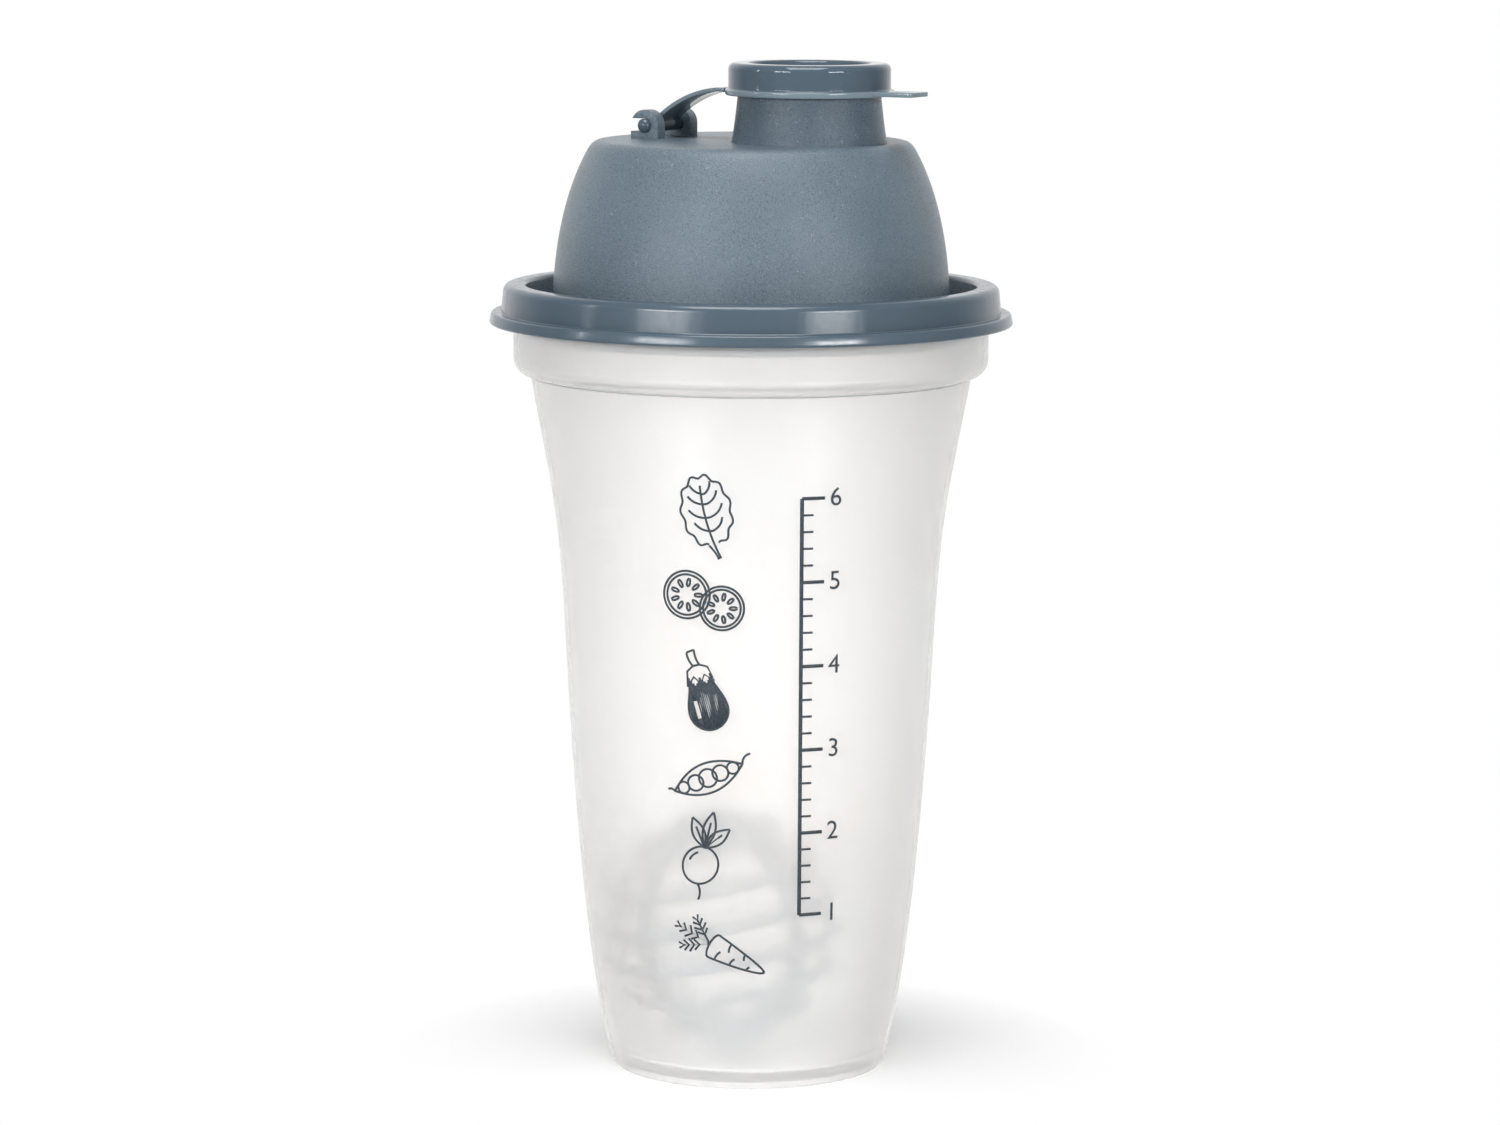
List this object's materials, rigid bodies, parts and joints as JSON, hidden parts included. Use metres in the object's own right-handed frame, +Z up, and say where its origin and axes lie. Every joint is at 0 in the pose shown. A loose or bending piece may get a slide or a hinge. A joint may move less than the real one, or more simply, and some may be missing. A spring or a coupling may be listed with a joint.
{
  "type": "salad dressing shaker bottle",
  "caption": "Translucent tumbler with a domed press-on lid, a hinged stopper over its pouring spout, and a loose mixing ball inside.",
  "frame": {"origin": "centre of the foot ring, on the surface that the shaker stands on", "axes": "+Z up along the tumbler's axis; the stopper's hinge lies towards -X and its thumb tab towards +X"},
  "size_m": [0.1032, 0.1032, 0.2],
  "materials": {
    "frosted_plastic": "frosted translucent",
    "lid_plastic": "fine matte grain",
    "stopper_plastic": "satin gloss",
    "ball_plastic": "satin"
  },
  "bodies": {
    "tumbler": {"tumbler": "frosted_plastic"},
    "lid": {"lid_shell": "lid_plastic", "pour_spout": "lid_plastic", "hinge_clip_front": "lid_plastic", "hinge_clip_back": "lid_plastic"},
    "strap": {"strap": "stopper_plastic", "hinge_pin": "stopper_plastic"},
    "stopper": {"stopper_cap": "stopper_plastic"},
    "ball": {"mixing_ball": "ball_plastic"}
  },
  "joints": [
    {"name": "lid_lift", "type": "slide", "parent": "tumbler", "child": "lid", "axis": [0, 0, 1], "range_m": [0, 0.07]},
    {"name": "stopper_swing", "type": "hinge", "parent": "lid", "child": "strap", "pos_m": [-0.0201, 0, 0.18705], "axis": [0, -1, 0], "range_deg": [0, 150]},
    {"name": "strap_flex", "type": "hinge", "parent": "strap", "child": "stopper", "pos_m": [-0.00375, 0, 0.1949], "axis": [0, -1, 0], "range_deg": [0, 35]},
    {"name": "ball_rise", "type": "slide", "parent": "tumbler", "child": "ball", "axis": [0, 0, 1], "range_m": [0, 0.13]}
  ]
}
